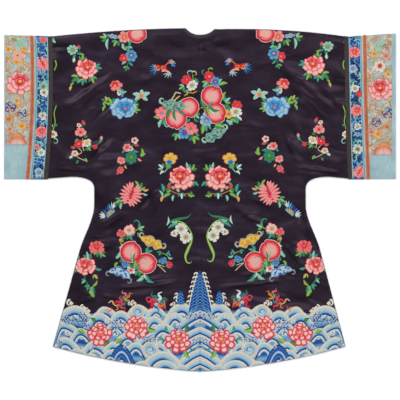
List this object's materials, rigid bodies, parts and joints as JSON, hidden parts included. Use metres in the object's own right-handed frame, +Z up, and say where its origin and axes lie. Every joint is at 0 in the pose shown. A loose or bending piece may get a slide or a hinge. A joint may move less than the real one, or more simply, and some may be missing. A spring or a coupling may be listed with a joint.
{
  "type": "gua robe",
  "caption": "Long-skirted silk surcoat with wide straight sleeves, laid flat on its front with sleeves spread, showing its embroidered back and wave border.",
  "frame": {"origin": "centre of the bounding box at the surface that the robe lies on", "axes": "+X along the spread sleeves to the right sleeve end as it lies, +Y from hem to neck, +Z up from the surface"},
  "size_m": [1.252, 1.096, 0.013],
  "materials": {
    "satin": "dark aubergine silk satin with coloured silk embroidery, soft sheen",
    "neck_silk": "slate silk binding, faint sheen",
    "pale_silk": "pale blue silk damask, soft sheen",
    "panel_embroidery": "cream silk ground covered with orange, blue and pink embroidery",
    "flower_ribbon": "woven ribbon, flowers on a blue ground",
    "gold_ribbon": "woven orange and gold ribbon",
    "dark_braid": "dark olive-brown braid, matt"
  },
  "bodies": {
    "root": {"body_left": "satin", "body_right": "satin", "neck_binding": "neck_silk", "cuff_left": "pale_silk", "cuff_right": "pale_silk", "sleeve_panel_left": "panel_embroidery", "sleeve_panel_right": "panel_embroidery", "flower_ribbon_left": "flower_ribbon", "flower_ribbon_right": "flower_ribbon", "gold_ribbon_left": "gold_ribbon", "gold_ribbon_right": "gold_ribbon", "dark_braid_left": "dark_braid", "dark_braid_right": "dark_braid"}
  },
  "joints": []
}
